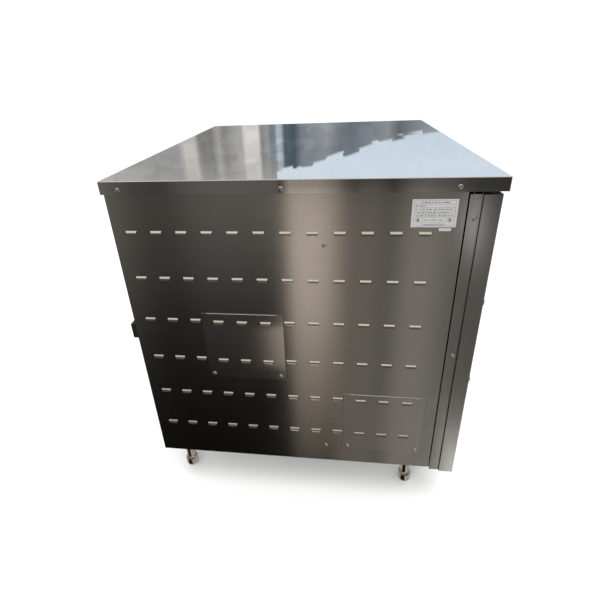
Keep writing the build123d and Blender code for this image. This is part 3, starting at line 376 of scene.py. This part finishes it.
def dial_paper():
    finish = Finish("dial_paper", Roughness=0.5)
    age = finish.noise(finish.place(), 120.0, 4.0, 0.6)
    finish.set(Base_Color=finish.mix(age, (0.86, 0.85, 0.80, 1), (0.78, 0.76, 0.70, 1)))
    return finish.material


SLOT_FINISHES = {
    "casing_steel": casing_steel,
    "lid_steel": lid_steel,
    "liner_steel": liner_steel,
    "frame_steel": frame_steel,
    "galvanised_steel": galvanised_steel,
    "leg_metal": leg_metal,
    "screw_steel": screw_steel,
    "wire_chrome": wire_chrome,
    "label_foil": label_foil,
    "black_plastic": black_plastic,
    "grey_plastic": grey_plastic,
    "ivory_plastic": ivory_plastic,
    "lamp_lens": lamp_lens,
    "dial_glass": dial_glass,
    "window_glass": window_glass,
    "needle_black": needle_black,
    "dial_metal": dial_metal,
    "gasket_rubber": gasket_rubber,
    "mineral_wool": mineral_wool,
    "motor_paint": motor_paint,
    "element_sheath": element_sheath,
    "bushing_brass": bushing_brass,
}


def dress_frame():
    """Gives every CAD node the finish of its slot in the record."""
    finishes = {slot: make() for slot, make in SLOT_FINISHES.items()}
    for row in frame["record"]["subparts"]:
        piece = frame["nodes"][row["node"]]
        if not piece.material_slots:
            piece.data.materials.append(None)
        for held in piece.material_slots:
            held.material = finishes[row["material_slot"]]
    bowed = cover_steel()
    for node in ("upper_access_cover", "lower_access_cover"):
        frame["nodes"][node].material_slots[0].material = bowed


# ---- Studio --------------------------------------------------------------------------------------------
def grey(value, warmth=0.0):
    """A linear colour of a given brightness, warmer or cooler."""
    return (value * (1 + warmth), value, value * (1 - warmth))


def around(angle):
    """Degrees, -180 to 180, as a place along a colour ramp."""
    return (angle + 180.0) / 360.0


PLAIN_WHITE = (1.2, 1.2, 1.2, 1)  # over 1, so that the lit floor runs into it without an edge


def make_world():
    """Plain white to the eye. What the steel mirrors is a soft studio: dark flags, a warm wall and a sky."""
    world = bpy.data.worlds.new("studio")
    world.use_nodes = True
    bpy.context.scene.world = world
    graph = Graph(world.node_tree)
    graph.tree.nodes.clear()
    way = graph.node("ShaderNodeTexCoord").outputs["Generated"]
    parts = graph.node("ShaderNodeSeparateXYZ", {0: way}).outputs
    height = graph.maths("MULTIPLY", graph.maths("ARCSINE", parts[2]), degrees(1))
    # Turned from -X, the direction that the louvered side faces, towards +Y, the rear.
    ahead = graph.maths("MULTIPLY", parts[0], -1.0)
    turn = graph.maths("MULTIPLY", graph.maths("ARCTAN2", parts[1], ahead), degrees(1))
    round_turn = graph.level(turn, -180.0, 180.0)
    low = low_side(graph, round_turn, turn, height)
    high = high_side(graph, turn, height)
    seen = graph.mix(graph.level(height, -4.0, 3.0, smooth=True), low, high)
    overhead = overhead_panels(graph, parts)
    seen = graph.mix(graph.level(height, 48.0, 66.0, smooth=True), seen, overhead)
    mirrored = graph.node("ShaderNodeLightPath").outputs["Is Glossy Ray"]
    colour = graph.mix(mirrored, PLAIN_WHITE, seen)
    back = graph.node("ShaderNodeBackground", {"Color": colour, "Strength": 1.0})
    graph.node("ShaderNodeOutputWorld", {"Surface": back.outputs[0]})


def overhead_panels(graph, parts):
    """Two long soft panels in a dimmer ceiling, as a flat ceiling would carry them."""
    across = graph.maths("DIVIDE", parts[0], graph.maths("MAXIMUM", parts[2], 0.1))
    ceiling = [
        (0.0, grey(0.62, 0.05)),
        (0.26, grey(0.50, 0.04)),
        (0.33, grey(0.86, 0.02)),
        (0.44, grey(0.88, 0.01)),
        (0.52, grey(0.42, 0.0)),
        (0.66, grey(0.36, -0.02)),
        (0.74, grey(0.76, -0.03)),
        (0.82, grey(0.74, -0.03)),
        (0.90, grey(0.40, -0.02)),
        (1.0, grey(0.50, -0.02)),
    ]
    return graph.ramp(graph.level(across, -1.0, 1.0), ceiling)


LOWEST = -60.0  # degrees; brightness stays the same below this


def falls(graph, height, stops):
    """A brightness that changes with height below the horizon. stops are (degrees, brightness)."""
    along = graph.level(height, LOWEST, 0.0)
    return graph.ramp(along, [(1 - angle / LOWEST, grey(value)) for angle, value in stops])


def patch(graph, under, turn, height, turn_span, height_span, tone, soft=2.0):
    """Lays a soft-edged patch of light over what is under it."""
    mask = 1.0
    for value, (low, high) in ((turn, turn_span), (height, height_span)):
        rise = graph.level(value, low - soft / 2, low + soft / 2, smooth=True)
        drop = graph.level(value, high - soft / 2, high + soft / 2, 1.0, 0.0, smooth=True)
        mask = graph.maths("MULTIPLY", mask, graph.maths("MULTIPLY", rise, drop))
    return graph.mix(mask, under, (*tone, 1))


def low_side(graph, round_turn, turn, height):
    """Below the horizon: upright bands that dim downwards, darkest towards the rear."""
    bands = [
        (-180, grey(0.50, 0.02)),
        (-150, grey(0.25, 0.03)),
        (-120, grey(0.60, 0.03)),
        (-96, grey(0.34, 0.03)),
        (-84, grey(0.66, 0.03)),
        (-62, grey(0.42, 0.04)),
        (-35, grey(0.34, 0.05)),
        (-24, grey(0.09, 0.06)),
        (-19, grey(0.11, 0.06)),
        (-16, grey(0.22, 0.08)),
        (-12, grey(0.29, 0.08)),
        (-8.6, grey(0.10, 0.08)),
        (-5, grey(0.19, 0.10)),
        (-2, grey(0.12, 0.12)),
        (0.6, grey(0.46, 0.14)),
        (3, grey(0.66, 0.14)),
        (7.6, grey(0.68, 0.14)),
        (8.4, grey(0.13, 0.08)),
        (18, grey(0.14, 0.06)),
        (22, grey(0.12, 0.06)),
        (26, grey(0.06, 0.08)),
        (30, grey(0.08, 0.08)),
        (34, grey(0.17, 0.06)),
        (60, grey(0.44, 0.04)),
        (84, grey(0.28, 0.03)),
        (100, grey(0.60, 0.02)),
        (130, grey(0.28, 0.03)),
        (160, grey(0.54, 0.02)),
        (180, grey(0.50, 0.02)),
    ]
    colour = graph.ramp(round_turn, [(around(angle), tone) for angle, tone in bands])
    rear = falls(graph, height, [(-54, 0.01), (-48, 0.02), (-41, 0.08), (-33, 0.22), (-26, 0.6), (-18, 1.0)])
    wall_stops = [(-54, 0.04), (-48, 0.26), (-41, 0.48), (-33, 0.80), (-18, 1.0), (-15.5, 0.5)]
    wall = falls(graph, height, wall_stops)
    front = falls(graph, height, [(-54, 0.95), (-18, 1.0), (-15, 0.5)])
    fade = graph.mix(graph.level(turn, -3.0, 1.0, smooth=True), front, wall)
    fade = graph.mix(graph.level(turn, 8.2, 9.2, smooth=True), fade, rear)
    fade = graph.mix(graph.level(turn, 60.0, 80.0, smooth=True), fade, front)
    lit = graph.node("ShaderNodeVectorMath", {0: colour, 1: fade}, operation="MULTIPLY").outputs[0]
    lit = patch(graph, lit, turn, height, (-34.0, -21.3), (-70.0, -48.5), grey(1.20, 0.02))
    return patch(graph, lit, turn, height, (-20.8, -18.4), (-23.0, -16.8), grey(0.80, 0.0))


def high_side(graph, turn, height):
    """Above the horizon: a dark skyline behind the cabinet, and a pale sky that warms on the near side."""
    # Turned from +X, the direction behind the cabinet as the camera sees it, towards -Y.
    behind = graph.maths("SUBTRACT", 180.0, graph.maths("ABSOLUTE", turn))
    signed = graph.maths("MULTIPLY", behind, graph.maths("SIGN", turn))
    across = graph.level(signed, -60.0, 60.0)

    def at(angle):
        return (angle + 60.0) / 120.0

    roof = graph.ramp(
        across,
        [
            (at(-60), grey(0.30)),
            (at(-24), grey(0.34)),
            (at(-12), grey(0.42)),
            (at(-5), grey(0.50)),
            (at(2), grey(0.62)),
            (at(8.5), grey(0.68)),
            (at(60), grey(0.68)),
        ],
    )
    # Blocks of different heights and tones, so that the skyline isn't one clean edge.
    spot = graph.node("ShaderNodeCombineXYZ", {0: signed, 1: graph.maths("MULTIPLY", height, 1.6)}).outputs[0]
    blocks = graph.node("ShaderNodeTexVoronoi", {"Vector": spot, "Scale": 0.5}, distance="CHEBYCHEV").outputs
    wisps = graph.noise(spot, 0.25, 4.0, 0.6)
    stack = graph.level(blocks["Color"], 0.0, 1.0, -0.9, 0.5)
    roof_height = graph.maths("ADD", graph.maths("MULTIPLY", roof, 20.0), stack)
    over_roof = graph.level(graph.maths("SUBTRACT", height, roof_height), -0.2, 0.2, smooth=True)
    skyline = [
        (-60, 0.30, 0.10),
        (-24, 0.30, 0.10),
        (-13, 0.36, 0.08),
        (-10.5, 0.30, 0.08),
        (-8.5, 0.18, 0.10),
        (-7, 0.34, 0.08),
        (-5, 0.28, 0.10),
        (-2, 0.21, 0.14),
        (-0.5, 0.24, 0.12),
        (1.5, 0.38, 0.06),
        (3, 0.33, 0.08),
        (5, 0.28, 0.10),
        (6, 0.12, 0.25),
        (7.7, 0.16, 0.20),
        (8.0, 0.60, 0.12),
        (8.6, 0.62, 0.12),
        (9.0, 0.17, 0.15),
        (9.9, 0.36, 0.03),
        (10.9, 0.28, 0.0),
        (11.2, 0.78, -0.03),
        (13.2, 0.78, -0.03),
        (13.6, 0.48, -0.02),
        (16.0, 0.30, 0.0),
        (16.9, 0.48, -0.03),
        (17.8, 0.26, 0.0),
        (19.6, 0.26, 0.0),
        (20.0, 0.62, -0.05),
        (21.8, 0.66, -0.05),
        (22.2, 0.38, 0.0),
        (26, 0.40, 0.0),
        (34, 0.56, 0.0),
        (60, 0.45, 0.0),
    ]
    masses = graph.ramp(across, [(at(angle), grey(value, -chill)) for angle, value, chill in skyline])
    shade = graph.level(blocks["Color"], 0.0, 1.0, 0.82, 1.16)
    masses = graph.node("ShaderNodeVectorMath", {0: masses, "Scale": shade}, operation="SCALE").outputs[0]
    sky = graph.ramp(
        graph.level(height, 6.0, 60.0),
        [(0.0, (0.60, 0.72, 0.82)), (0.12, (0.80, 0.93, 1.05)), (0.35, (0.95, 1.0, 1.05))],
    )
    sky = graph.mix(graph.level(wisps, 0.45, 0.75, 0.0, 0.5), sky, (1.0, 1.02, 1.04, 1))
    left = graph.level(signed, 8.7, 8.9)
    wall = graph.mix(graph.level(height, 9.0, 20.0, smooth=True), masses, (0.62, 0.61, 0.58, 1))
    right = graph.mix(over_roof, masses, sky)
    low_sky = graph.mix(left, right, wall)
    # The camera's own side: a dim wall to 16 degrees, then a warm white sky that lights the louvers' hoods.
    near_sky = graph.ramp(
        graph.level(height, 0.0, 90.0),
        [
            (0.0, (0.10, 0.085, 0.07)),
            (0.22, (0.12, 0.11, 0.095)),
            (0.36, (0.90, 0.83, 0.70)),
            (0.55, (1.20, 1.12, 0.96)),
            (1.0, (1.40, 1.30, 1.15)),
        ],
    )
    high_sky = graph.mix(graph.level(height, 24.0, 40.0, smooth=True), low_sky, (1.25, 1.24, 1.2, 1))
    near = graph.level(behind, 95.0, 125.0, smooth=True)
    return graph.mix(near, high_sky, near_sky)


FLOOR_REACH = 60.0


def make_floor():
    """A plain pale floor. Metal doesn't mirror it: the studio's bands lie under the horizon instead."""
    size = FLOOR_REACH
    mesh = bpy.data.meshes.new("floor")
    corners = [(-size, -size, 0), (size, -size, 0), (size, size, 0), (-size, size, 0)]
    mesh.from_pydata(corners, [], [(0, 1, 2, 3)])
    floor = bpy.data.objects.new("floor", mesh)
    bpy.context.scene.collection.objects.link(floor)
    finish = Finish("floor", Roughness=0.9)
    mottle = finish.noise(finish.place(), 3.0, 4.0)
    finish.set(Base_Color=finish.mix(mottle, (0.90, 0.90, 0.89, 1), (0.88, 0.88, 0.87, 1)))
    mesh.materials.append(finish.material)
    floor.visible_glossy = False


def make_light(name, place, aim, size, power):
    """A soft round light. Metal doesn't mirror it, as the studio's own sky stands for it there."""
    data = bpy.data.lights.new(name, "AREA")
    data.shape = "DISK"
    data.size = size
    data.energy = power
    light = bpy.data.objects.new(name, data)
    way = Vector(aim) - Vector(place)
    light.matrix_world = Matrix.Translation(place) @ way.to_track_quat("-Z", "Y").to_matrix().to_4x4()
    light.visible_glossy = False
    bpy.context.scene.collection.objects.link(light)


def make_lights():
    middle = (0, 0, 0.5)
    make_light("overhead", (-0.6, -0.4, 4.2), middle, 4.0, 110.0)
    make_light("side", (-3.4, 1.2, 2.4), middle, 2.4, 30.0)


# ---- Built pieces --------------------------------------------------------------------------------------
def finish_piece(name, form, material, body):
    mesh = bpy.data.meshes.new(name)
    form.normal_update()
    form.to_mesh(mesh)
    form.free()
    mesh.materials.append(material)
    piece = bpy.data.objects.new(name, mesh)
    bpy.context.scene.collection.objects.link(piece)
    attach(piece, body)
    return piece


def add_block(form, low, high):
    """A box between two corners."""
    made = bmesh.ops.create_cube(form, size=1.0)["verts"]
    low, high = Vector(low), Vector(high)
    for vertex in made:
        vertex.co = (low + high) / 2 + Vector([c * s for c, s in zip(vertex.co, high - low)])


INK_RISE = 0.00008
PLATE_HEIGHT = 0.0653
PLATE_ROWS = (0.16, 0.36, 0.47, 0.585, 0.70, 0.82)  # where the plate's rules lie, 0 to 1 from its bottom
PLATE_FRAME_TOP = 0.945
RULE = 0.007
SEAL_RADIUS = 0.045  # in widths of the plate
SEAL_DOTS = 20
DOT_HALF = 0.0005


class Plate:
    """The rating plate's face. Places on it run 0 to 1 from its rear edge and from its bottom."""

    def __init__(self):
        low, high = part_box("rating_labels")
        self.face = low[0]
        self.bottom = high[2] - PLATE_HEIGHT
        self.rear = high[1]
        self.width = high[1] - low[1]
        self.form = bmesh.new()

    def bar(self, left, right, below, above):
        y_low = self.rear - right * self.width
        y_high = self.rear - left * self.width
        z_low = self.bottom + below * PLATE_HEIGHT
        z_high = self.bottom + above * PLATE_HEIGHT
        add_block(self.form, (self.face - INK_RISE, y_low, z_low), (self.face, y_high, z_high))

    def dot(self, y, z):
        low = (self.face - INK_RISE, y - DOT_HALF, z - DOT_HALF)
        add_block(self.form, low, (self.face, y + DOT_HALF, z + DOT_HALF))


def print_rules(plate):
    """The frame round the plate, the rules across it and the short walls of its boxes."""
    rows = PLATE_ROWS
    for edge in (0.045, PLATE_FRAME_TOP):
        plate.bar(0.05, 0.95, edge, edge + RULE)
    for side in (0.05, 0.943):
        plate.bar(side, side + RULE * 0.7, 0.045, 0.955)
    for row in rows[1:]:
        plate.bar(0.05, 0.95, row, row + RULE)
    plate.bar(0.25, 0.75, rows[0], rows[0] + RULE)
    for split, row in ((0.25, 0), (0.75, 0), (0.32, 1), (0.62, 1), (0.27, 2), (0.5, 2), (0.73, 2)):
        plate.bar(split, split + RULE * 0.6, rows[row], rows[row + 1])


def print_words(plate):
    """Short bars of uneven length in each row, where the plate has its text."""
    words = [(5, 0.2, 0.8, 0.034), (4, 0.08, 0.3, 0.03), (3, 0.08, 0.9, 0.024)]
    words += [(2, 0.09, 0.9, 0.027), (1, 0.1, 0.9, 0.03), (0, 0.28, 0.72, 0.027)]
    tops = PLATE_ROWS[1:] + (PLATE_FRAME_TOP,)
    for row, start, stop, bold in words:
        place = start
        middle = (PLATE_ROWS[row] + tops[row]) / 2
        while place < stop:
            length = random.uniform(0.02, 0.06)
            plate.bar(place, min(stop, place + length), middle - bold / 2, middle + bold / 2)
            place += length + random.uniform(0.008, 0.05)


def print_seals(plate):
    """A plain ring of dots with a bar in it, on each side of the bottom row."""
    for seal in (0.15, 0.85):
        for step in range(SEAL_DOTS):
            angle = 2 * pi * step / SEAL_DOTS
            y = plate.rear - (seal + SEAL_RADIUS * cos(angle)) * plate.width
            z = plate.bottom + (PLATE_ROWS[0] + 0.10) * PLATE_HEIGHT + SEAL_RADIUS * plate.width * sin(angle)
            plate.dot(y, z)
        plate.bar(seal - 0.02, seal + 0.02, PLATE_ROWS[0] + 0.06, PLATE_ROWS[0] + 0.14)


def rating_print():
    """Rules, boxes and short bars of print on the rating plate. They stand for its text."""
    plate = Plate()
    random.seed(11)
    print_rules(plate)
    print_words(plate)
    print_seals(plate)
    plate.bar(0.28, 0.75, 0.075, 0.10)
    finish_piece("rating_print", plate.form, ink(), "cabinet")


def add_tick(form, centre, plane, angle, inner, outer, width):
    """A short flat mark on a face that looks along -Y, pointing away from a centre. 0 degrees is up."""
    way = Vector((sin(radians(angle)), 0, cos(radians(angle))))
    side = Vector((way.z, 0, -way.x)) * width / 2
    start = Vector((centre[0], plane, centre[1]))
    made = bmesh.ops.create_cube(form, size=1.0)["verts"]
    for vertex in made:
        along = inner + (vertex.co.z + 0.5) * (outer - inner)
        raised = Vector((0, -INK_RISE if vertex.co.y < 0 else 0, 0))
        vertex.co = start + way * along + side * (2 * vertex.co.x) + raised


def centre_of(node):
    """The middle of a node's box, as (x, z)."""
    low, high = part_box(node)
    return (low[0] + high[0]) / 2, (low[2] + high[2]) / 2


KNOBS = ("heat_knob", "humidity_knob")
SCALE_MARKS = 11
SCALE_START = -135  # degrees from up
SCALE_STEP = 27
SCALE_INNER = 0.0180
BOLD_TICK = 0.0013


def knob_scales():
    """Etched scales on the control column's face: eleven marks round each knob, and two by the switch."""
    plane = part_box("control_panel")[0][1]
    form = bmesh.new()
    for node in KNOBS:
        for step in range(SCALE_MARKS):
            outer = 0.0235 if step % 5 == 0 else 0.0215
            angle = SCALE_START + SCALE_STEP * step
            add_tick(form, centre_of(node), plane, angle, SCALE_INNER, outer, BOLD_TICK)
    switch = centre_of("switch_housing")
    for side in (-1, 1):
        add_tick(form, switch, plane, 90 * side, 0.0145, 0.0195, BOLD_TICK)
    finish_piece("knob_scales", form, ink(), "cabinet")


def knob_pointers():
    """An ivory inlay in each knob's pointer groove. It turns with its knob."""
    for knob in KNOBS:
        x, z = centre_of(knob)
        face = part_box(knob)[0][1]
        form = bmesh.new()
        add_block(form, (x - 0.0006, face + 0.00005, z + 0.0022), (x + 0.0006, face + 0.0005, z + 0.0103))
        finish_piece(knob + "_pointer", form, ivory_plastic(), knob)


CARD_RADIUS = 0.0278
CARD_THICKNESS = 0.0002
CARD_DEPTH = 0.005  # from the thermometer case's front to the floor of its cup
DIAL_START = -125  # degrees from up
DIAL_SWEEP = 250
DIAL_STEP = 5


def thermometer_card(centre, plane):
    """The printed card at the bottom of the thermometer's cup."""
    form = bmesh.new()
    flat = Matrix.Translation((centre[0], plane - CARD_THICKNESS / 2, centre[1]))
    flat = flat @ Matrix.Rotation(pi / 2, 4, "X")
    disc = {"radius1": CARD_RADIUS, "radius2": CARD_RADIUS, "depth": CARD_THICKNESS}
    bmesh.ops.create_cone(form, cap_ends=True, segments=72, matrix=flat, **disc)
    finish_piece("thermometer_card", form, dial_paper(), "cabinet")


def thermometer_marks(centre, plane):
    """Fifty-one marks round the card, with an arc made of short ticks outside them."""
    form = bmesh.new()
    for step in range(DIAL_SWEEP // DIAL_STEP + 1):
        bold = step % 10 == 0
        inner = 0.0195 if bold else (0.0215 if step % 5 == 0 else 0.0230)
        width = BOLD_TICK if bold else 0.0005
        add_tick(form, centre, plane, DIAL_START + DIAL_STEP * step, inner, 0.0250, width)
    for angle in range(0, DIAL_SWEEP, 2):
        add_tick(form, centre, plane, DIAL_START + angle, 0.0251, 0.0254, 0.0010)
    finish_piece("thermometer_marks", form, ink(), "cabinet")


def thermometer_dial():
    centre = centre_of("thermometer_case")
    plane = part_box("thermometer_case")[0][1] + CARD_DEPTH
    thermometer_card(centre, plane)
    thermometer_marks(centre, plane - CARD_THICKNESS)


def main():
    make_camera()
    dress_frame()
    make_world()
    make_floor()
    make_lights()
    rating_print()
    knob_scales()
    knob_pointers()
    thermometer_dial()
    bpy.context.scene.view_settings.view_transform = "Standard"


main()
